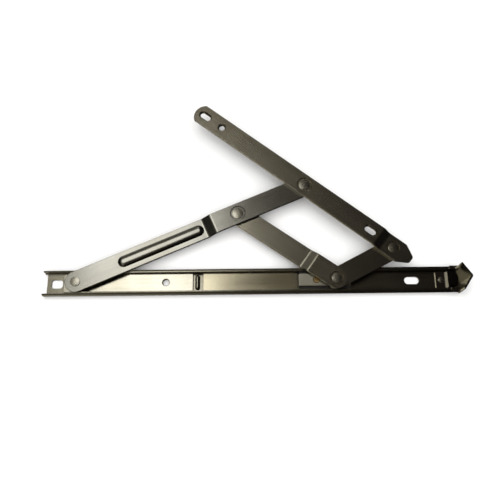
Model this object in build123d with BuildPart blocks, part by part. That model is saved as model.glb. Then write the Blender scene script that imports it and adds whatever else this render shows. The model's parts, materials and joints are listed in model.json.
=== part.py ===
from build123d import *
from math import acos, asin, atan2, cos, degrees, radians, sin, sqrt, tan
import os

# Friction stay hinge: a flat four-bar stay that carries a side- or top-hung window sash.
# The track screws to the frame, the sash bar screws to the sash, and a braked slider holds the
# sash where it is put.
# Origin: centre of the track's underside. +X along the track to the end cap, +Y to the opening
# side, +Z along every pivot. The stay is drawn fully open. Lengths are millimetres.

# ---- Driving dimensions ------------------------------------------------------------------------

overall_length = 300.0
track_width = 18.1
track_height = 6.0
track_sheet = 1.2
track_bend = 1.8
mouth_width = 13.2
cap_reach = 7.0

arm_sheet = 2.0
arm_width = 15.0
arm_end_radius = arm_width / 2
level_gap = 0.3
edge_softening = 0.25
fold_radius = 4.0

# Linkage, pivot to pivot. Main plus sash crank equals support plus short arm, so the stay closes flat.
main_pivot_x = -126.4
main_to_support = 124.0
support_to_sash = 52.7
sash_to_short = 77.7
support_length = 84.2
short_length = 46.2
open_angle = 23.15

pin_radius = 2.5
running_clearance = 0.05
open_pivot_clearance = 0.45
washer_thickness = 0.25

# ---- Levels of the stack, underside first ------------------------------------------------------

insert_thickness = 1.8
slider_rise = 0.6
floor_top = track_sheet
insert_top = floor_top + insert_thickness
main_low = track_height + level_gap
slider_top = track_height + slider_rise
level_1 = slider_top + level_gap
level_2 = level_1 + arm_sheet + level_gap
level_3 = level_2 + arm_sheet + level_gap
stack_height = level_3 + arm_sheet

measuring_tolerance = 0.01
square_across = 0.99

track_left = -overall_length / 2
track_right = overall_length / 2 - cap_reach
cavity_half_width = track_width / 2 - track_sheet
insert_width = mouth_width

# ---- Pivots with the stay fully open -----------------------------------------------------------


def step_from(start, angle, distance):
    """Point at a distance from start, in the direction of angle in degrees."""
    return start + Vector(distance * cos(radians(angle)), distance * sin(radians(angle)), 0)


main_pivot = Vector(main_pivot_x, 0, 0)
support_pivot = step_from(main_pivot, open_angle, main_to_support)
sash_pivot = step_from(main_pivot, open_angle, main_to_support + support_to_sash)
support_angle = -degrees(asin(support_pivot.Y / support_length))
slider_pivot = step_from(support_pivot, support_angle, support_length)
diagonal = slider_pivot - sash_pivot
corner_cosine = (sash_to_short**2 + diagonal.length**2 - short_length**2) / (
    2 * sash_to_short * diagonal.length
)
sash_angle = degrees(atan2(diagonal.Y, diagonal.X)) + degrees(acos(corner_cosine))
short_pivot = step_from(sash_pivot, sash_angle, sash_to_short)
short_angle = degrees(atan2(short_pivot.Y - slider_pivot.Y, short_pivot.X - slider_pivot.X))


def plan_plane(pivot, angle, height=0.0):
    """Horizontal plane at a height, with x along a link that starts at pivot."""
    return Plane(
        origin=(pivot.X, pivot.Y, height),
        x_dir=(cos(radians(angle)), sin(radians(angle)), 0),
        z_dir=(0, 0, 1),
    )


def side_plane(pivot, angle):
    """Upright plane through a link's centre line, with x along the link and y up."""
    return Plane(
        origin=(pivot.X, pivot.Y, 0),
        x_dir=(cos(radians(angle)), sin(radians(angle)), 0),
        z_dir=(sin(radians(angle)), -cos(radians(angle)), 0),
    )


def strip_points(start, foot, top, end, first_level, last_level):
    """Edge-on outline of a sheet that runs level, slopes from foot to top, and runs level again."""
    slope = atan2(last_level - first_level, top - foot)
    shift = arm_sheet * tan(slope / 2)
    return [
        (start, first_level),
        (foot, first_level),
        (top, last_level),
        (end, last_level),
        (end, last_level + arm_sheet),
        (top - shift, last_level + arm_sheet),
        (foot - shift, first_level + arm_sheet),
        (start, first_level + arm_sheet),
    ]


def fold_vertices(profile, foot, top):
    """The four corners of a strip profile where the sheet folds."""
    return [v for v in profile.vertices() if foot - arm_sheet < v.X < top + arm_sheet]


def outline_edges(piece, plane, foot, top):
    """Every edge of a sheet that is not upright and is not a fold line across it."""
    kept = []
    for edge in piece.edges().filter_by(Axis.Z, reverse=True):
        middle = plane.to_local_coords(edge.position_at(0.5))
        direction = edge.tangent_at(0.5)
        across = abs(direction.dot(plane.y_dir)) > square_across
        if not (across and foot - arm_sheet < middle.X < top + arm_sheet):
            kept.append(edge)
    return kept


# ---- Track ----------------------------------------------------------------------------------------

frame_slot_x = -141.0
frame_slot_size = (8.0, 6.2)
frame_slot_corner = 2.0
frame_hole_x = -63.6
frame_hole_radius = 2.5
end_slot_x = 110.5
end_slot_length = 10.6
end_slot_width = 5.5
lip_start_x = -136.0
lip_full_x = -120.0
lip_edge_radius = 0.3
floor_setback = 2.0
stop_rib_x = -41.3
stop_rib_length = 11.0
stop_rib_width = 3.6
stop_rib_height = 1.9
cap_rivet_x = 131.4
cap_rivet_radius = 1.5
foot_sink = 0.8
main_foot_radius = pin_radius + foot_sink
cap_foot_radius = cap_rivet_radius + foot_sink
pressing_wall = 0.8
rib_crown_radius = 1.7
rib_roof = 1.3
floor_half_width = track_width / 2 - track_bend

with BuildPart() as track:
    with BuildSketch(Plane.YZ.offset(track_left)):
        with Locations((0, track_height / 2)):
            RectangleRounded(track_width, track_height, track_bend)
            RectangleRounded(
                track_width - 2 * track_sheet,
                track_height - 2 * track_sheet,
                track_bend - track_sheet,
                mode=Mode.SUBTRACT,
            )
        with Locations((0, track_height - track_sheet / 2)):
            Rectangle(mouth_width, 2 * track_sheet, mode=Mode.SUBTRACT)
    extrude(amount=track_right - track_left)
    long_edges = track.edges().filter_by(Axis.X)
    lip_edges = [e for e in long_edges if abs(abs(e.center().Y) - mouth_width / 2) < measuring_tolerance]
    fillet(lip_edges, lip_edge_radius)
    # The lips are cut away at the open end and come in gradually beyond the first screw slot.
    with BuildSketch(Plane.XY.offset(track_height)):
        with BuildLine():
            Polyline(
                (track_left, cavity_half_width),
                (lip_start_x, cavity_half_width),
                (lip_full_x, mouth_width / 2),
                (lip_full_x, -mouth_width / 2),
                (lip_start_x, -cavity_half_width),
                (track_left, -cavity_half_width),
                close=True,
            )
        make_face()
    extrude(amount=-track_height / 2, mode=Mode.SUBTRACT)
    with BuildSketch(Plane.XY.offset(floor_top)):
        with Locations((frame_slot_x, 0)):
            RectangleRounded(*frame_slot_size, frame_slot_corner)
        with Locations((end_slot_x, 0)):
            SlotOverall(end_slot_length, end_slot_width)
        with Locations((frame_hole_x, 0)):
            Circle(frame_hole_radius)
        with Locations((main_pivot_x, 0)):
            Circle(pin_radius)
        with Locations((cap_rivet_x, 0)):
            Circle(cap_rivet_radius)
        # The floor stops short of the walls at the open end.
        with Locations((track_left, 0)):
            Rectangle(2 * floor_setback, 2 * floor_half_width)
    extrude(amount=-track_sheet, mode=Mode.SUBTRACT)
    for rivet_x, foot_radius in ((main_pivot_x, main_foot_radius), (cap_rivet_x, cap_foot_radius)):
        with Locations(Location((rivet_x, 0, 0))):
            Cone(
                foot_radius,
                foot_radius - foot_sink,
                foot_sink,
                align=(Align.CENTER, Align.CENTER, Align.MIN),
                mode=Mode.SUBTRACT,
            )
    # A rib pressed up from the floor between the two inserts.
    with BuildSketch(Plane.XY.offset(floor_top)):
        with Locations((stop_rib_x, 0)):
            SlotOverall(stop_rib_length, stop_rib_width, rotation=90)
    extrude(amount=stop_rib_height)
    rib_crown = track.edges().filter_by_position(
        Axis.Z,
        floor_top + stop_rib_height - measuring_tolerance,
        floor_top + stop_rib_height + measuring_tolerance,
    )
    fillet(rib_crown, rib_crown_radius)
    with BuildSketch(Plane.XY):
        with Locations((stop_rib_x, 0)):
            SlotOverall(
                stop_rib_length - 2 * pressing_wall,
                stop_rib_width - 2 * pressing_wall,
                rotation=90,
            )
    extrude(amount=floor_top + stop_rib_height - rib_roof, mode=Mode.SUBTRACT)

# ---- Inserts riveted and pressed into the track -----------------------------------------------------

pivot_plate_left = -136.0
pivot_plate_right = -44.4
stop_strip_left = -37.4
stop_strip_right = 29.4
insert_corner = 1.2
insert_chamfer = 0.3

with BuildPart() as pivot_plate:
    with BuildSketch(Plane.XY.offset(floor_top)):
        with Locations(((pivot_plate_left + pivot_plate_right) / 2, 0)):
            RectangleRounded(pivot_plate_right - pivot_plate_left, insert_width, insert_corner)
        with Locations((frame_slot_x, 0)):
            RectangleRounded(*frame_slot_size, frame_slot_corner, mode=Mode.SUBTRACT)
        with Locations((main_pivot_x, 0)):
            Circle(pin_radius, mode=Mode.SUBTRACT)
        with Locations((frame_hole_x, 0)):
            Circle(frame_hole_radius, mode=Mode.SUBTRACT)
    extrude(amount=insert_thickness)
    top_rims = pivot_plate.faces().sort_by(Axis.Z)[-1].edges()
    chamfer([rim for rim in top_rims if abs(rim.center().X - main_pivot_x) > pin_radius], insert_chamfer)

with BuildPart() as stop_strip:
    with BuildSketch(Plane.XY.offset(floor_top)):
        with Locations(((stop_strip_left + stop_strip_right) / 2, 0)):
            RectangleRounded(stop_strip_right - stop_strip_left, insert_width, insert_corner)
    extrude(amount=insert_thickness)
    chamfer(stop_strip.faces().sort_by(Axis.Z)[-1].edges(), insert_chamfer)

# ---- Pivot spacer under the main arm ---------------------------------------------------------------

spacer_radius = 5.6
spacer_top = main_low - level_gap

with BuildPart() as pivot_spacer:
    with BuildSketch(Plane.XY.offset(insert_top)):
        with Locations((main_pivot_x, 0)):
            Circle(spacer_radius)
            Circle(pin_radius, mode=Mode.SUBTRACT)
    extrude(amount=spacer_top - insert_top)

# ---- Main arm -----------------------------------------------------------------------------------------

main_foot = 98.5
main_top = 105.2
main_overhang = 5.8
main_corner = 4.5
bead_start = 32.0
bead_end = 97.2
bead_width = 8.4
bead_height = 1.5
bead_taper = 48.0
bead_recess = 1.2
bead_crown_radius = 4.0
dimple_radius = 5.6
dimple_depth = 0.8
dimple_slope = 0.7
countersink = 1.0
main_plane = plan_plane(main_pivot, open_angle)
main_end = main_to_support + support_to_sash + main_overhang


def cut_dimple(pivot, surface, radius=dimple_radius, depth=dimple_depth):
    """Round pressing that a rivet head sits in, cut from the part being built."""
    with Locations(plan_plane(pivot, 0, surface - depth).location):
        Cone(
            radius - depth * dimple_slope,
            radius,
            depth,
            align=(Align.CENTER, Align.CENTER, Align.MIN),
            mode=Mode.SUBTRACT,
        )


with BuildPart() as main_arm:
    with BuildSketch(side_plane(main_pivot, open_angle)) as main_profile:
        with BuildLine():
            Polyline(
                *strip_points(-arm_end_radius, main_foot, main_top, main_end, main_low, level_2),
                close=True,
            )
        make_face()
        fillet(fold_vertices(main_profile, main_foot, main_top), fold_radius)
    extrude(amount=arm_width, both=True)
    with BuildSketch(main_plane) as main_outline:
        with Locations((main_end / 2, 0)):
            Rectangle(main_end, arm_width)
        fillet(main_outline.vertices().group_by(Axis.X)[-1], main_corner)
        Circle(arm_end_radius)
    extrude(amount=stack_height, mode=Mode.INTERSECT)
    fillet(outline_edges(main_arm, main_plane, main_foot, main_top), edge_softening)
    # Stiffening bead, pressed up along the low part of the arm.
    with BuildSketch(plan_plane(main_pivot, open_angle, main_low + arm_sheet)):
        with Locations(((bead_start + bead_end) / 2, 0)):
            SlotOverall(bead_end - bead_start, bead_width)
    extrude(amount=bead_height, taper=bead_taper)
    bead_crown = main_arm.faces().filter_by(Plane.XY).filter_by_position(
        Axis.Z,
        main_low + arm_sheet + bead_height - measuring_tolerance,
        main_low + arm_sheet + bead_height + measuring_tolerance,
    )
    fillet(bead_crown.edges(), bead_crown_radius)
    with BuildSketch(plan_plane(main_pivot, open_angle, main_low)):
        with Locations(((bead_start + bead_end) / 2, 0)):
            SlotOverall(bead_end - bead_start - bead_recess, bead_width - bead_recess)
    extrude(amount=bead_recess, taper=bead_taper, mode=Mode.SUBTRACT)
    cut_dimple(support_pivot, level_2 + arm_sheet)
    with BuildSketch(main_plane):
        Circle(pin_radius + running_clearance)
        with Locations((main_to_support, 0), (main_to_support + support_to_sash, 0)):
            Circle(pin_radius)
    extrude(amount=stack_height, mode=Mode.SUBTRACT)
    with Locations(plan_plane(sash_pivot, open_angle, level_2).location):
        Cone(
            pin_radius + countersink,
            pin_radius,
            countersink,
            align=(Align.CENTER, Align.CENTER, Align.MIN),
            mode=Mode.SUBTRACT,
        )

# ---- Support arm, from the main arm to the slider ----------------------------------------------------

support_foot = 59.2
support_top = 64.6
slider_dimple_radius = 4.6
slider_dimple_depth = 0.65
support_plane = plan_plane(support_pivot, support_angle)

with BuildPart() as support_arm:
    with BuildSketch(side_plane(support_pivot, support_angle)) as support_profile:
        with BuildLine():
            Polyline(
                *strip_points(
                    -arm_end_radius,
                    support_foot,
                    support_top,
                    support_length + arm_end_radius,
                    level_1,
                    level_2,
                ),
                close=True,
            )
        make_face()
        fillet(fold_vertices(support_profile, support_foot, support_top), fold_radius)
    extrude(amount=arm_width, both=True)
    with BuildSketch(support_plane):
        with Locations((support_length / 2, 0)):
            SlotCenterToCenter(support_length, arm_width)
    extrude(amount=stack_height, mode=Mode.INTERSECT)
    fillet(outline_edges(support_arm, support_plane, support_foot, support_top), edge_softening)
    cut_dimple(slider_pivot, level_2 + arm_sheet, slider_dimple_radius, slider_dimple_depth)
    with BuildSketch(support_plane):
        with Locations((0, 0), (support_length, 0)):
            Circle(pin_radius + running_clearance)
    extrude(amount=stack_height, mode=Mode.SUBTRACT)

# ---- Short arm, from the slider to the sash bar --------------------------------------------------------

with BuildPart() as short_arm:
    with BuildSketch(plan_plane(slider_pivot, short_angle, level_1)):
        with Locations((short_length / 2, 0)):
            SlotCenterToCenter(short_length, arm_width)
    extrude(amount=arm_sheet)
    fillet(short_arm.edges().filter_by(Axis.Z, reverse=True), edge_softening)
    with BuildSketch(plan_plane(slider_pivot, short_angle, level_1)):
        Circle(pin_radius + running_clearance)
        with Locations((short_length, 0)):
            Circle(pin_radius + open_pivot_clearance)
    extrude(amount=arm_sheet, mode=Mode.SUBTRACT)

# ---- Sash bar -------------------------------------------------------------------------------------------

bar_left = -100.8
bar_end_rise = 3.8
bar_fold_start = 65.0
bar_fold_end = 69.4
bar_shoulder = 84.0
bar_nose = 92.8
nose_half_width = 2.4
nose_radius = 2.2
sash_slot_places = (-92.2, 57.8)
sash_slot_length = 8.6
sash_slot_width = 4.2
sash_hole_place = -76.4
sash_hole_radius = 2.1
rim_chamfer = 1.0
short_dimple_radius = 4.6
short_dimple_depth = 0.5
bar_plane = plan_plane(sash_pivot, sash_angle)

with BuildPart() as sash_bar:
    with BuildSketch(side_plane(sash_pivot, sash_angle)) as bar_profile:
        with BuildLine():
            Polyline(
                *strip_points(bar_left, bar_fold_start, bar_fold_end, bar_nose, level_3, level_2),
                close=True,
            )
        make_face()
        fillet(fold_vertices(bar_profile, bar_fold_start, bar_fold_end), fold_radius)
    extrude(amount=arm_width, both=True)
    with BuildSketch(bar_plane) as bar_outline:
        with BuildLine():
            Polyline(
                (bar_left + bar_end_rise, arm_width / 2),
                (bar_shoulder, arm_width / 2),
                (bar_nose, nose_half_width),
                (bar_nose, -nose_half_width),
                (bar_shoulder, -arm_width / 2),
                (bar_left + bar_end_rise, -arm_width / 2),
            )
            ThreePointArc(
                (bar_left + bar_end_rise, -arm_width / 2),
                (bar_left, 0),
                (bar_left + bar_end_rise, arm_width / 2),
            )
        make_face()
        fillet(bar_outline.vertices().group_by(Axis.X)[-1], nose_radius)
    extrude(amount=stack_height, mode=Mode.INTERSECT)
    fillet(outline_edges(sash_bar, bar_plane, bar_fold_start, bar_fold_end), edge_softening)
    with BuildSketch(bar_plane.offset(level_3)):
        with Locations(*[(place, 0) for place in sash_slot_places]):
            SlotOverall(sash_slot_length, sash_slot_width)
        with Locations((sash_hole_place, 0)):
            Circle(sash_hole_radius)
    extrude(amount=arm_sheet, mode=Mode.SUBTRACT)
    # Each screw opening has a bevelled rim on the outer face.
    level_top = sash_bar.faces().filter_by(Plane.XY).sort_by(Axis.Z)[-1]
    for opening in level_top.inner_wires():
        chamfer(opening.edges(), rim_chamfer)
    cut_dimple(sash_pivot, stack_height)
    cut_dimple(short_pivot, level_2 + arm_sheet, short_dimple_radius, short_dimple_depth)
    with BuildSketch(bar_plane):
        Circle(pin_radius + running_clearance)
        with Locations((sash_to_short, 0)):
            Circle(pin_radius)
    extrude(amount=stack_height, mode=Mode.SUBTRACT)

# ---- Slider: a nylon block with a steel cover, a pad and a screw that presses the pad -------------

slider_back = 26.2
slider_front = 10.3
slider_left = slider_pivot.X - slider_back
slider_right = slider_pivot.X + slider_front
slider_middle = (slider_left + slider_right) / 2
slider_length = slider_right - slider_left
slider_base_width = 13.8
slider_base_top = 4.5
slider_bottom = floor_top + 0.3
boss_width = 9.0
cover_thickness = 1.0
cover_bottom = slider_top - cover_thickness
cover_corner = 0.8
screw_x = slider_pivot.X - 13.6
screw_head_radius = 2.4
screw_head_bottom = 5.1
screw_head_top = slider_top + 0.15
screw_shank_radius = 1.6
screw_slot_width = 0.8
screw_slot_depth = 0.7
screw_slot_angle = -60
pad_length = 10.0
pad_width = 8.0
pad_bottom = floor_top + 0.1
pad_top = 2.2
pocket_clearance = 0.1

with BuildPart() as slider_block:
    with BuildSketch(Plane.XY.offset(slider_bottom)):
        with Locations((slider_middle, 0)):
            RectangleRounded(slider_length, slider_base_width, insert_corner)
    extrude(amount=slider_base_top - slider_bottom)
    chamfer(slider_block.edges().filter_by(Axis.Z, reverse=True), insert_chamfer)
    with BuildSketch(Plane.XY.offset(slider_base_top)):
        with Locations((slider_middle, 0)):
            RectangleRounded(slider_length, boss_width, cover_corner)
    extrude(amount=cover_bottom - slider_base_top)
    with BuildSketch(Plane.XY.offset(slider_bottom)):
        with Locations((screw_x, 0)):
            Rectangle(pad_length, pad_width)
    extrude(amount=pad_top - slider_bottom, mode=Mode.SUBTRACT)
    with BuildSketch(Plane.XY):
        with Locations((slider_pivot.X, 0)):
            Circle(pin_radius)
        with Locations((screw_x, 0)):
            Circle(screw_shank_radius + running_clearance)
    extrude(amount=stack_height, mode=Mode.SUBTRACT)
    with BuildSketch(Plane.XY.offset(screw_head_bottom - running_clearance)):
        with Locations((screw_x, 0)):
            Circle(screw_head_radius + pocket_clearance)
    extrude(amount=stack_height, mode=Mode.SUBTRACT)

with BuildPart() as slider_cover:
    with BuildSketch(Plane.XY.offset(cover_bottom)):
        with Locations((slider_middle, 0)):
            RectangleRounded(slider_length, boss_width, cover_corner)
        with Locations((slider_pivot.X, 0)):
            Circle(pin_radius, mode=Mode.SUBTRACT)
        with Locations((screw_x, 0)):
            Circle(screw_head_radius + pocket_clearance, mode=Mode.SUBTRACT)
    extrude(amount=cover_thickness)
    cover_rim = slider_cover.faces().sort_by(Axis.Z)[-1].outer_wire().edges()
    fillet(cover_rim, insert_chamfer)

with BuildPart() as friction_pad:
    with BuildSketch(Plane.XY.offset(pad_bottom)):
        with Locations((screw_x, 0)):
            Rectangle(pad_length, pad_width)
    extrude(amount=pad_top - pad_bottom)

with BuildPart() as friction_screw:
    with BuildSketch(Plane.XY.offset(screw_head_bottom)):
        with Locations((screw_x, 0)):
            Circle(screw_head_radius)
    extrude(amount=screw_head_top - screw_head_bottom)
    chamfer(friction_screw.edges().group_by(Axis.Z)[-1], insert_chamfer)
    with BuildSketch(Plane.XY.offset(pad_top + running_clearance)):
        with Locations((screw_x, 0)):
            Circle(screw_shank_radius)
    extrude(amount=screw_head_bottom - pad_top - running_clearance)
    with BuildSketch(Plane.XY.offset(screw_head_top)):
        with Locations((screw_x, 0)):
            Rectangle(screw_slot_width, 3 * screw_head_radius, rotation=screw_slot_angle)
    extrude(amount=-screw_slot_depth, mode=Mode.SUBTRACT)

# ---- End cap that catches the nose of the closed sash bar ---------------------------------------------

cap_mouth_x = track_right
cap_half_width = 10.7
cap_wall = 1.3
cap_nose_radius = 1.6
cap_corner_radius = 0.5
tongue_left = 127.3
tongue_thickness = 1.1
tongue_corner = 1.0
wing_left = 136.5
wing_inner = 7.0
wing_thickness = 0.7
# The sides slope so that the rounded nose ends at the overall length.
nose_centre_reach = cap_reach - cap_nose_radius
nose_centre_distance = sqrt(nose_centre_reach**2 + cap_half_width**2)
cap_side_slope = atan2(cap_half_width, nose_centre_reach) - asin(cap_nose_radius / nose_centre_distance)
cap_tip_x = cap_mouth_x + cap_half_width / tan(cap_side_slope)
inner_tip_x = cap_tip_x - cap_wall / sin(cap_side_slope)
inner_half_width = cap_half_width - cap_wall / cos(cap_side_slope)
tongue_top = floor_top + tongue_thickness


mouth_span = (Axis.X, cap_mouth_x - measuring_tolerance, cap_mouth_x + measuring_tolerance)


def cap_points(half_width, tip_x):
    """Triangle that closes the track's end, with its point away from the track."""
    return [(cap_mouth_x, half_width), (tip_x, 0), (cap_mouth_x, -half_width)]


with BuildPart() as end_cap:
    with BuildSketch(Plane.XY):
        with BuildLine():
            Polyline(*cap_points(cap_half_width, cap_tip_x), close=True)
        make_face()
    extrude(amount=stack_height)
    upright_edges = end_cap.edges().filter_by(Axis.Z).sort_by(Axis.X)
    fillet(upright_edges[-1], cap_nose_radius)
    fillet(end_cap.edges().filter_by(Axis.Z).filter_by_position(*mouth_span), cap_corner_radius)
    with BuildSketch(Plane.XY.offset(tongue_top)):
        with BuildLine():
            Polyline(*cap_points(inner_half_width, inner_tip_x), close=True)
        make_face()
    extrude(amount=stack_height, mode=Mode.SUBTRACT)
    with BuildSketch(Plane.XY.offset(floor_top)) as tongue:
        with Locations(((tongue_left + cap_mouth_x) / 2, 0)):
            Rectangle(cap_mouth_x - tongue_left, insert_width)
        fillet(tongue.vertices().group_by(Axis.X)[0], tongue_corner)
        with Locations((cap_rivet_x, 0)):
            Circle(cap_rivet_radius, mode=Mode.SUBTRACT)
    extrude(amount=tongue_thickness)
    # Wings that fold over the track's lips.
    for side in (1, -1):
        wing_middle = side * (wing_inner + track_width / 2) / 2
        with BuildSketch(Plane.XY.offset(track_height)):
            with Locations(((wing_left + cap_mouth_x + cap_wall) / 2, wing_middle)):
                Rectangle(cap_mouth_x + cap_wall - wing_left, track_width / 2 - wing_inner)
        extrude(amount=wing_thickness)

nose_rest_left = 134.9
nose_rest_shoulder = 140.4
nose_rest_right = 142.4
nose_rest_half_width = 5.8
nose_rest_top = 6.5
nose_rest_softening = 1.0

with BuildPart() as nose_rest:
    with BuildSketch(Plane.XY.offset(tongue_top)):
        with BuildLine():
            Polyline(
                (nose_rest_shoulder, nose_rest_half_width),
                (nose_rest_left, nose_rest_half_width),
                (nose_rest_left, -nose_rest_half_width),
                (nose_rest_shoulder, -nose_rest_half_width),
            )
            ThreePointArc(
                (nose_rest_shoulder, -nose_rest_half_width),
                (nose_rest_right, 0),
                (nose_rest_shoulder, nose_rest_half_width),
            )
        make_face()
    extrude(amount=nose_rest_top - tongue_top)
    chamfer(nose_rest.faces().sort_by(Axis.Z)[-1].edges(), nose_rest_softening)

# ---- Rivets -----------------------------------------------------------------------------------------------

rim_share = 0.7


def rivet(label, pivot, radius, foot, seat, crown, head_radius):
    """Round rivet. foot is the outline up to the shank, as (radius, height) from the rim of the foot."""
    rim = seat + rim_share * (crown - seat)
    dome = crown - rim
    dome_radius = (head_radius**2 + dome**2) / (2 * dome)
    half_radius = head_radius / 2
    half_way = (half_radius, crown - dome_radius + sqrt(dome_radius**2 - half_radius**2))
    with BuildPart() as piece:
        with BuildSketch(side_plane(pivot, 0)):
            with BuildLine():
                Polyline(
                    (0, crown),
                    (0, foot[0][1]),
                    *foot,
                    (radius, seat),
                    (head_radius, seat),
                    (head_radius, rim),
                )
                ThreePointArc((head_radius, rim), half_way, (0, crown))
            make_face()
        revolve(axis=Axis((pivot.X, pivot.Y, 0), (0, 0, 1)))
    piece.part.label = label
    return piece.part


def flush_foot(radius, bottom, sink):
    """Foot spread into a countersink, flush with the face at bottom."""
    return [(radius + sink, bottom), (radius, bottom + sink)]


def button_foot(radius, bottom, top):
    """Foot spread into a low button below the stack."""
    return [(button_radius, bottom), (button_radius, top), (radius, top)]


button_height = 0.5
button_radius = 4.0
top_head_radius = 3.9
slider_head_radius = 3.4
main_head_radius = 3.4
main_head_height = 0.95
short_head_height = 0.75
cap_head_radius = 2.2
cap_head_height = 0.8
button_top = level_1 - running_clearance
button_bottom = button_top - button_height

main_rivet = rivet(
    "rivet_main",
    main_pivot,
    pin_radius,
    flush_foot(pin_radius, 0.0, foot_sink),
    main_low + arm_sheet + running_clearance,
    main_low + arm_sheet + main_head_height,
    main_head_radius,
)
support_rivet = rivet(
    "rivet_support",
    support_pivot,
    pin_radius,
    button_foot(pin_radius, button_bottom, button_top),
    level_2 + arm_sheet - dimple_depth,
    level_2 + arm_sheet,
    top_head_radius,
)
sash_rivet = rivet(
    "rivet_sash",
    sash_pivot,
    pin_radius,
    flush_foot(pin_radius, level_2, countersink),
    stack_height - dimple_depth + running_clearance,
    stack_height,
    top_head_radius,
)
short_rivet = rivet(
    "rivet_short",
    short_pivot,
    pin_radius,
    button_foot(pin_radius, button_bottom, button_top),
    level_2 + arm_sheet - short_dimple_depth,
    level_2 + arm_sheet + short_head_height - short_dimple_depth,
    slider_head_radius,
)
slider_rivet = rivet(
    "rivet_slider",
    slider_pivot,
    pin_radius,
    [(pin_radius, slider_bottom)],
    level_2 + arm_sheet - slider_dimple_depth + running_clearance,
    level_2 + arm_sheet + running_clearance,
    slider_head_radius,
)
cap_rivet = rivet(
    "rivet_cap",
    Vector(cap_rivet_x, 0, 0),
    cap_rivet_radius,
    flush_foot(cap_rivet_radius, 0.0, foot_sink),
    tongue_top,
    tongue_top + cap_head_height,
    cap_head_radius,
)

# ---- Washers, one between each pair of arms -----------------------------------------------------------

washer_radius = 6.4


def washer(label, pivot, bottom):
    """Flat ring round a pivot."""
    with BuildPart() as piece:
        with BuildSketch(plan_plane(pivot, 0, bottom)):
            Circle(washer_radius)
            Circle(pin_radius, mode=Mode.SUBTRACT)
        extrude(amount=washer_thickness)
    piece.part.label = label
    return piece.part


washers = [
    washer("washer_main", main_pivot, spacer_top),
    washer("washer_support", support_pivot, level_2 - washer_thickness),
    washer("washer_sash", sash_pivot, level_2 + arm_sheet),
    washer("washer_short", short_pivot, level_2 - washer_thickness),
    washer("washer_slider_low", slider_pivot, slider_top),
    washer("washer_slider_high", slider_pivot, level_2 - level_gap / 2 - washer_thickness / 2),
]

# ---- Labels and files ---------------------------------------------------------------------------------

track.part.label = "track"
pivot_plate.part.label = "pivot_plate"
stop_strip.part.label = "stop_strip"
pivot_spacer.part.label = "pivot_spacer"
main_arm.part.label = "main_arm"
support_arm.part.label = "support_arm"
short_arm.part.label = "short_arm"
sash_bar.part.label = "sash_bar"
slider_block.part.label = "slider_block"
slider_cover.part.label = "slider_cover"
friction_pad.part.label = "friction_pad"
friction_screw.part.label = "friction_screw"
end_cap.part.label = "end_cap"
nose_rest.part.label = "nose_rest"

os.makedirs("parts", exist_ok=True)
for piece in (
    track.part,
    pivot_plate.part,
    stop_strip.part,
    pivot_spacer.part,
    main_arm.part,
    support_arm.part,
    short_arm.part,
    sash_bar.part,
    slider_block.part,
    slider_cover.part,
    friction_pad.part,
    friction_screw.part,
    end_cap.part,
    nose_rest.part,
    main_rivet,
    support_rivet,
    sash_rivet,
    short_rivet,
    slider_rivet,
    cap_rivet,
    *washers,
):
    export_step(piece, f"parts/{piece.label}.step")
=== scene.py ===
import json
from math import atan2, cos, radians, sin

import bpy
from mathutils import Matrix, Vector

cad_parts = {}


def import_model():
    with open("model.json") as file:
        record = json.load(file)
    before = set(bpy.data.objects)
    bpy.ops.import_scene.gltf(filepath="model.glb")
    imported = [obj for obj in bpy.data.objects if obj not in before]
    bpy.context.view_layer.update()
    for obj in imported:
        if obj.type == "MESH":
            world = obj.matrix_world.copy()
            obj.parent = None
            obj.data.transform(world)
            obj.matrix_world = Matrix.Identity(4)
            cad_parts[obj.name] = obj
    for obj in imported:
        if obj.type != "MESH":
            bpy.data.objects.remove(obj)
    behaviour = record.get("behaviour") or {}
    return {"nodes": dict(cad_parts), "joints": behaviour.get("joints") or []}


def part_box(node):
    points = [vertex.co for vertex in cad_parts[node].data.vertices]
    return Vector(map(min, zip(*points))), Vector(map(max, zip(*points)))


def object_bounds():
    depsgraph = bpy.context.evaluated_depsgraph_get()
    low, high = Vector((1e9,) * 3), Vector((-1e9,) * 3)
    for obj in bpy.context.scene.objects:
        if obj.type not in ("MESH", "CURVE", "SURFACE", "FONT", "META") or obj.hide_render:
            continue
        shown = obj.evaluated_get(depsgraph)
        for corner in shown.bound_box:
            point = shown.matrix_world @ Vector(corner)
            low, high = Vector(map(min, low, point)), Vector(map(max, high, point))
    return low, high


# Friction stay hinge: procedural finishes for the CAD pieces, a pale floor, studio light and camera.

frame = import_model()
cad_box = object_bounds()

MM = 0.001

nodes = frame["nodes"]
joints = {joint["name"]: joint for joint in frame["joints"]}


# ---- Places and directions, from the frame ------------------------------------------------------


def pivot(joint_name):
    """A joint's place at rest."""
    return Vector(joints[joint_name]["pos_m"])


def heading(start, end):
    """Angle of the line from start to end, seen from above."""
    return atan2(end.y - start.y, end.x - start.x)


MAIN_PIVOT = pivot("main_arm_swing")
SUPPORT_PIVOT = pivot("support_arm_swing")
SASH_PIVOT = pivot("sash_bar_swing")
SLIDER_PIVOT = pivot("slider_pivot")


def middle(node):
    """Centre of a CAD node's box."""
    low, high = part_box(node)
    return (low + high) / 2


SHORT_PIVOT = middle("rivet_short")


# ---- Node tree helpers ---------------------------------------------------------------------------


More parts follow.
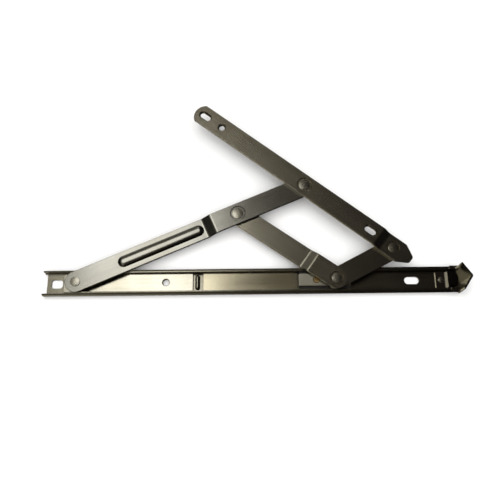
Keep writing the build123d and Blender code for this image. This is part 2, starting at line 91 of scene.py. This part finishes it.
class Finish:
    """A material under construction: a Principled shader with nodes added one by one."""

    def __init__(self, name):
        self.material = bpy.data.materials.new(name)
        self.material.use_nodes = True
        self.tree = self.material.node_tree
        self.shader = self.tree.nodes["Principled BSDF"]

    def node(self, kind, **settings):
        made = self.tree.nodes.new(kind)
        for key, value in settings.items():
            setattr(made, key, value)
        return made

    def link(self, source, target):
        self.tree.links.new(source, target)

    def place(self, origin, angle, scale):
        """Object coordinates with x along a direction, stretched by scale, so that grain can follow it."""
        coordinates = self.node("ShaderNodeTexCoord")
        turn = self.node("ShaderNodeMapping", vector_type="TEXTURE")
        turn.inputs["Location"].default_value = origin
        turn.inputs["Rotation"].default_value = (0, 0, angle)
        self.link(coordinates.outputs["Object"], turn.inputs["Vector"])
        stretch = self.node("ShaderNodeVectorMath", operation="MULTIPLY")
        stretch.inputs[1].default_value = scale
        self.link(turn.outputs["Vector"], stretch.inputs[0])
        return stretch.outputs["Vector"]

    def noise(self, vector, scale, detail=4.0, roughness=0.55):
        made = self.node("ShaderNodeTexNoise")
        made.inputs["Scale"].default_value = scale
        made.inputs["Detail"].default_value = detail
        made.inputs["Roughness"].default_value = roughness
        self.link(vector, made.inputs["Vector"])
        return made.outputs["Fac"]

    def ramp(self, factor, stops):
        """A colour ramp. Each stop is a position and a grey value or a colour."""
        made = self.node("ShaderNodeValToRGB")
        elements = made.color_ramp.elements
        while len(elements) < len(stops):
            elements.new(0.5)
        for element, (position, value) in zip(elements, stops):
            element.position = position
            element.color = (value, value, value, 1) if isinstance(value, float) else (*value, 1)
        self.link(factor, made.inputs["Fac"])
        return made.outputs["Color"]

    def mix(self, factor, first, second, blend="MIX"):
        made = self.node("ShaderNodeMix", data_type="RGBA", blend_type=blend)
        if isinstance(factor, float):
            made.inputs["Factor"].default_value = factor
        else:
            self.link(factor, made.inputs["Factor"])
        for value, socket in ((first, made.inputs["A"]), (second, made.inputs["B"])):
            if isinstance(value, tuple):
                socket.default_value = (*value, 1)
            else:
                self.link(value, socket)
        return made.outputs["Result"]

    def math(self, operation, first, second):
        made = self.node("ShaderNodeMath", operation=operation)
        for value, socket in ((first, made.inputs[0]), (second, made.inputs[1])):
            if isinstance(value, float):
                socket.default_value = value
            else:
                self.link(value, socket)
        return made.outputs["Value"]

    def bump(self, height, strength, distance, normal=None):
        made = self.node("ShaderNodeBump")
        made.inputs["Strength"].default_value = strength
        made.inputs["Distance"].default_value = distance
        self.link(height, made.inputs["Height"])
        if normal is not None:
            self.link(normal, made.inputs["Normal"])
        return made.outputs["Normal"]

    def edges(self, radius):
        """Mask of the corners and rims: where a rounded normal leaves the true one."""
        rounded = self.node("ShaderNodeBevel", samples=6)
        rounded.inputs["Radius"].default_value = radius
        true_normal = self.node("ShaderNodeNewGeometry")
        compare = self.node("ShaderNodeVectorMath", operation="DOT_PRODUCT")
        self.link(rounded.outputs["Normal"], compare.inputs[0])
        self.link(true_normal.outputs["Normal"], compare.inputs[1])
        return self.ramp(compare.outputs["Value"], [(0.80, 1.0), (0.985, 0.0)])

    def set(self, **values):
        for name, value in values.items():
            self.shader.inputs[name.replace("_", " ")].default_value = value


# ---- Finishes -------------------------------------------------------------------------------------

# Cells per metre of each texture: along the grain, across it and upwards.
STREAKS = (40, 2600, 2600)
BANDS = (14, 420, 420)
SCRATCHES = (45, 2300, 0)
FLOW_MARKS = (90, 420, 420)
EVEN = (1, 1, 1)
# Cells per metre of the textures that are the same in every direction.
CLOUDS = 85.0
BROAD_PATCHES = 30.0
PATCHES = 24.0
DENTS = 700.0
GRIME = 320.0
TURNED_RINGS = 900.0
SPARK_GRAIN = 5200.0
SCRATCH_TURN = radians(12)
RUBBED_EDGE = 0.4 * MM
SCRATCH_COLOUR = (0.85, 0.84, 0.80)
RUBBED_COLOUR = (0.72, 0.70, 0.63)


def steel(name, origin, angle, colour, tint, roughness, grain=1.0, mottling=0.5):
    """Stainless sheet: rolled grain along one direction, fine scratches, handling marks and tarnish."""
    finish = Finish(name)
    finish.set(Metallic=1.0, Specular_IOR_Level=0.5)
    # Rolled grain: streaks some centimetres long and a tenth of a millimetre across.
    along = finish.place(origin, angle, STREAKS)
    streaks = finish.noise(along, 1.0, detail=6.0, roughness=0.6)
    coarse_along = finish.place(origin, angle, BANDS)
    bands = finish.noise(coarse_along, 1.0, detail=3.0)
    # Handling marks: cloudy patches a few millimetres across.
    even = finish.place(origin, angle, EVEN)
    clouds = finish.noise(even, CLOUDS, detail=5.0, roughness=0.6)
    patches = finish.noise(even, PATCHES, detail=3.0)
    broad = finish.noise(even, BROAD_PATCHES, detail=1.0)
    # Stray scratches: thin cells, kept only near their edges.
    scratch_space = finish.place(origin, angle + SCRATCH_TURN, SCRATCHES)
    scratches = finish.noise(scratch_space, 1.0, detail=2.0, roughness=0.4)
    scratch_mask = finish.ramp(scratches, [(0.70, 0.0), (0.74, 1.0)])
    base = finish.mix(finish.ramp(patches, [(0.3, 0.0), (0.75, 1.0)]), colour, tint)
    base = finish.mix(0.10 * grain, base, finish.ramp(streaks, [(0.35, 0.25), (0.65, 1.0)]), "MULTIPLY")
    base = finish.mix(0.25 * mottling, base, finish.ramp(clouds, [(0.3, 0.55), (0.62, 1.0)]), "MULTIPLY")
    base = finish.mix(finish.math("MULTIPLY", scratch_mask, 0.35), base, SCRATCH_COLOUR)
    # Rubbed corners and rims, broken up by the same clouds as the handling marks.
    patchy = finish.ramp(clouds, [(0.35, 0.2), (0.65, 0.9)])
    worn = finish.math("MULTIPLY", finish.edges(RUBBED_EDGE), patchy)
    base = finish.mix(worn, base, RUBBED_COLOUR)
    finish.link(base, finish.shader.inputs["Base Color"])
    rough = finish.ramp(broad, [(0.3, roughness - 0.02), (0.7, roughness + 0.04)])
    rough = finish.mix(0.35, rough, finish.ramp(bands, [(0.3, roughness - 0.05), (0.7, roughness + 0.07)]))
    finish.link(rough, finish.shader.inputs["Roughness"])
    normal = finish.bump(streaks, 0.06 * grain, 0.00006)
    normal = finish.bump(bands, 0.10 * grain, 0.00010, normal)
    normal = finish.bump(scratch_mask, 0.12, 0.00003, normal)
    finish.link(normal, finish.shader.inputs["Normal"])
    return finish.material


def turned(name, centre, colour, tint, roughness):
    """Metal turned or peened about an upright axis: rings, a few dents and patchy grime."""
    finish = Finish(name)
    finish.set(Metallic=1.0, Specular_IOR_Level=0.5)
    around = finish.place((*centre.xy, 0), 0, EVEN)
    rings = finish.node("ShaderNodeTexWave", wave_type="RINGS", rings_direction="Z")
    rings.inputs["Scale"].default_value = TURNED_RINGS
    rings.inputs["Distortion"].default_value = 2.5
    rings.inputs["Detail"].default_value = 3.0
    rings.inputs["Detail Scale"].default_value = 2.0
    finish.link(around, rings.inputs["Vector"])
    dents = finish.noise(around, DENTS, detail=3.0)
    grime = finish.noise(around, GRIME, detail=5.0, roughness=0.65)
    base = finish.mix(finish.ramp(grime, [(0.35, 0.0), (0.7, 1.0)]), colour, tint)
    base = finish.mix(0.2, base, finish.ramp(rings.outputs["Fac"], [(0.2, 0.55), (0.8, 1.0)]), "MULTIPLY")
    finish.link(base, finish.shader.inputs["Base Color"])
    finish.link(
        finish.ramp(grime, [(0.3, roughness - 0.06), (0.75, roughness + 0.12)]),
        finish.shader.inputs["Roughness"],
    )
    normal = finish.bump(rings.outputs["Fac"], 0.15, 0.00002)
    normal = finish.bump(dents, 0.25, 0.00008, normal)
    finish.link(normal, finish.shader.inputs["Normal"])
    return finish.material


def plastic(name, colour, tint, roughness):
    """Moulded plastic: fine spark-eroded grain, faint flow marks and rubbed patches."""
    finish = Finish(name)
    finish.set(Metallic=0.0, Specular_IOR_Level=0.45)
    even = finish.place((0, 0, 0), 0, EVEN)
    grain = finish.noise(even, SPARK_GRAIN, detail=2.0)
    flow = finish.noise(finish.place((0, 0, 0), 0, FLOW_MARKS), 1.0, detail=4.0)
    base = finish.mix(finish.ramp(flow, [(0.35, 0.0), (0.7, 1.0)]), colour, tint)
    base = finish.mix(0.18, base, finish.ramp(grain, [(0.3, 0.5), (0.7, 1.0)]), "MULTIPLY")
    finish.link(base, finish.shader.inputs["Base Color"])
    finish.link(
        finish.ramp(flow, [(0.3, roughness - 0.08), (0.7, roughness + 0.10)]),
        finish.shader.inputs["Roughness"],
    )
    finish.link(finish.bump(grain, 0.25, 0.00003), finish.shader.inputs["Normal"])
    return finish.material


def paint(material, *names):
    """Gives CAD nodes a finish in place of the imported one."""
    for name in names:
        for material_slot in nodes[name].material_slots:
            material_slot.material = material


OLIVE_STEEL = (0.52, 0.50, 0.42)
OLIVE_TINT = (0.40, 0.38, 0.31)
BRIGHT_STEEL = (0.64, 0.62, 0.55)
BRIGHT_TINT = (0.54, 0.51, 0.42)
DARK_STEEL = (0.43, 0.41, 0.34)
DARK_TINT = (0.33, 0.31, 0.25)
GREY_STEEL = (0.44, 0.44, 0.41)
GREY_TINT = (0.37, 0.36, 0.32)
PALE_STEEL = (0.66, 0.63, 0.53)
PALE_TINT = (0.54, 0.51, 0.42)
STRIP_STEEL = (0.68, 0.63, 0.48)
STRIP_TINT = (0.57, 0.52, 0.37)
COVER_STEEL = (0.86, 0.84, 0.74)
COVER_TINT = (0.74, 0.71, 0.60)
# Painted shade: the nose rest's steel is coloured near black to stand in for the shade and dark
# reflections it sits in, not a steel tone.
REST_PAINTED_SHADE = (0.17, 0.16, 0.13)
REST_PAINTED_SHADE_TINT = (0.12, 0.11, 0.09)
BRASS = (0.90, 0.68, 0.34)
BRASS_TINT = (0.62, 0.44, 0.20)

paint(
    steel("track_steel", (0, 0, 0), 0, DARK_STEEL, DARK_TINT, 0.22, 1.2),
    "track",
)
paint(
    steel("insert_steel", (0, 0, 0), 0, BRIGHT_STEEL, BRIGHT_TINT, 0.19, 0.8),
    "pivot_plate",
    "pivot_spacer",
)
paint(
    steel("strip_steel", (0, 0, 0), 0, STRIP_STEEL, STRIP_TINT, 0.19, 0.8),
    "stop_strip",
)
paint(
    steel("cover_steel", (0, 0, 0), 0, COVER_STEEL, COVER_TINT, 0.34, 0.8),
    "slider_cover",
)
paint(
    steel("main_arm_steel", MAIN_PIVOT, heading(MAIN_PIVOT, SASH_PIVOT), GREY_STEEL, GREY_TINT, 0.20),
    "main_arm",
)
paint(
    steel(
        "support_arm_steel",
        SUPPORT_PIVOT,
        heading(SUPPORT_PIVOT, SLIDER_PIVOT),
        PALE_STEEL,
        PALE_TINT,
        0.20,
    ),
    "support_arm",
)
paint(
    steel(
        "short_arm_steel",
        SLIDER_PIVOT,
        heading(SLIDER_PIVOT, SHORT_PIVOT),
        OLIVE_STEEL,
        OLIVE_TINT,
        0.20,
    ),
    "short_arm",
)
paint(
    steel("sash_bar_steel", SASH_PIVOT, heading(SASH_PIVOT, SHORT_PIVOT), PALE_STEEL, PALE_TINT, 0.21),
    "sash_bar",
)
paint(
    steel("cap_steel", (0, 0, 0), radians(90), OLIVE_STEEL, OLIVE_TINT, 0.17, 0.6),
    "end_cap",
)
# Nose rest: steel with a near-black colour that is painted shade, standing in for the dark reflections
# inside the end cap.
paint(
    steel("rest_steel_painted_shade", (0, 0, 0), radians(90), REST_PAINTED_SHADE, REST_PAINTED_SHADE_TINT, 0.20, 0.6),
    "nose_rest",
)
for rivet_name in [name for name in nodes if name.startswith("rivet_")]:
    paint(
        turned(f"{rivet_name}_metal", middle(rivet_name), BRIGHT_STEEL, OLIVE_TINT, 0.25),
        rivet_name,
    )
paint(
    turned("screw_brass", middle("friction_screw"), BRASS, BRASS_TINT, 0.36),
    "friction_screw",
)
paint(plastic("slider_nylon", (0.010, 0.009, 0.008), (0.020, 0.018, 0.015), 0.50), "slider_block")
paint(plastic("pad_acetal", (0.62, 0.60, 0.52), (0.50, 0.47, 0.40), 0.40), "friction_pad")
paint(
    plastic("washer_acetal", (0.66, 0.63, 0.54), (0.50, 0.46, 0.37), 0.38),
    *[name for name in nodes if name.startswith("washer_")],
)


# ---- Floor, light and camera ------------------------------------------------------------------------


def floor():
    """A plain pale floor under the track."""
    size = 6.0
    mesh = bpy.data.meshes.new("floor")
    corners = [(x * size, y * size, cad_box[0].z) for x, y in ((-1, -1), (1, -1), (1, 1), (-1, 1))]
    mesh.from_pydata(corners, [], [(0, 1, 2, 3)])
    made = bpy.data.objects.new("floor", mesh)
    bpy.context.scene.collection.objects.link(made)
    finish = Finish("floor_paint")
    even = finish.place((0, 0, 0), 0, EVEN)
    soft = finish.noise(even, 2.0, detail=2.0)
    finish.link(
        finish.ramp(soft, [(0.3, (0.93, 0.93, 0.93)), (0.7, (0.95, 0.95, 0.95))]),
        finish.shader.inputs["Base Color"],
    )
    finish.set(Roughness=0.9, Specular_IOR_Level=0.1)
    mesh.materials.append(finish.material)
    made.visible_glossy = False


# Colour of the surroundings by how far to the right a direction points.
WORLD_STOPS = (
    (-1.0, (0.030, 0.028, 0.024)),
    (-0.62, (0.060, 0.056, 0.046)),
    (-0.42, (0.48, 0.46, 0.40)),
    (-0.18, (0.24, 0.225, 0.18)),
    (0.03, (0.085, 0.076, 0.058)),
    (0.18, (0.016, 0.013, 0.012)),
    (0.55, (0.012, 0.010, 0.010)),
    (1.0, (0.04, 0.04, 0.04)),
)


# Share of that colour by how far up a direction points: dim between the low walls and the ceiling.
HEIGHT_STOPS = ((-1.0, 1.0), (-0.05, 1.0), (0.12, 0.3), (0.70, 0.3), (0.84, 1.0), (1.0, 1.0))


def fill_ramp(ramp, stops):
    """Gives a ramp its stops, in rising order, each a direction's coordinate and a colour."""
    elements = ramp.color_ramp.elements
    while len(elements) < len(stops):
        elements.new(1.0)
    for element, (place, colour) in zip(elements, stops):
        element.position = (place + 1) / 2
        element.color = (colour, colour, colour, 1) if isinstance(colour, float) else (*colour, 1)


def area_light(name, place, target, width, depth, power, colour=(1, 1, 1), mirrored=True):
    """A soft rectangular lamp that faces a point. It shows in metal only where mirrored is true."""
    lamp = bpy.data.lights.new(name, "AREA")
    lamp.shape = "RECTANGLE"
    lamp.size = width
    lamp.size_y = depth
    lamp.energy = power
    lamp.color = colour
    made = bpy.data.objects.new(name, lamp)
    made.location = place
    made.rotation_euler = (Vector(target) - Vector(place)).to_track_quat("-Z", "Y").to_euler()
    made.visible_glossy = mirrored
    bpy.context.scene.collection.objects.link(made)


def world():
    """Studio surroundings: light from the left that falls away to a dark right side."""
    made = bpy.data.worlds.new("studio")
    made.use_nodes = True
    tree = made.node_tree
    coordinates = tree.nodes.new("ShaderNodeTexCoord")
    split = tree.nodes.new("ShaderNodeSeparateXYZ")
    tree.links.new(coordinates.outputs["Generated"], split.inputs["Vector"])
    product = tree.nodes.new("ShaderNodeMix")
    product.data_type = "RGBA"
    product.blend_type = "MULTIPLY"
    product.inputs["Factor"].default_value = 1.0
    for axis, stops, socket in (("X", WORLD_STOPS, "A"), ("Z", HEIGHT_STOPS, "B")):
        spread = tree.nodes.new("ShaderNodeMapRange")
        spread.inputs["From Min"].default_value = -1.0
        spread.inputs["From Max"].default_value = 1.0
        ramp = tree.nodes.new("ShaderNodeValToRGB")
        fill_ramp(ramp, stops)
        tree.links.new(split.outputs[axis], spread.inputs["Value"])
        tree.links.new(spread.outputs["Result"], ramp.inputs["Fac"])
        tree.links.new(ramp.outputs["Color"], product.inputs[socket])
    tree.links.new(product.outputs["Result"], tree.nodes["Background"].inputs["Color"])
    bpy.context.scene.world = made


def camera():
    """Looks down at the stay from the near side, at the height and lens that frame it."""
    elevation = radians(72.28)
    roll = radians(-0.635)
    distance = 433.3 * MM
    focal_px = 598.3
    picture_px = 500
    aim = Vector((-3.93, 24.36, 0)) * MM
    lens = bpy.data.cameras.new("camera")
    lens.sensor_width = 36.0
    lens.lens = focal_px * lens.sensor_width / picture_px
    lens.clip_start = 0.01
    made = bpy.data.objects.new("camera", lens)
    back = Vector((0, -cos(elevation), sin(elevation)))
    right = Vector((1, 0, 0))
    up = back.cross(right)
    turned_right = cos(roll) * right + sin(roll) * up
    turned_up = -sin(roll) * right + cos(roll) * up
    basis = Matrix((turned_right, turned_up, back)).transposed().to_4x4()
    made.matrix_world = Matrix.Translation(aim + distance * back) @ basis
    bpy.context.scene.collection.objects.link(made)
    bpy.context.scene.camera = made


CARD_COLOUR = (1, 0.985, 0.94)

floor()
world()
area_light("left_card", (-0.245, 0.30, 1.0), (-0.245, 0.30, 0), 0.32, 0.44, 0.90, CARD_COLOUR)
area_light("far_card", (-0.14, 0.98, 0.72), (0, 0.05, 0), 0.30, 0.26, 0.26, CARD_COLOUR)
area_light("floor_light", (0.1, -0.1, 1.8), (0, 0.05, 0), 5.0, 5.0, 125, mirrored=False)
bpy.context.scene.view_settings.view_transform = "Standard"
camera()
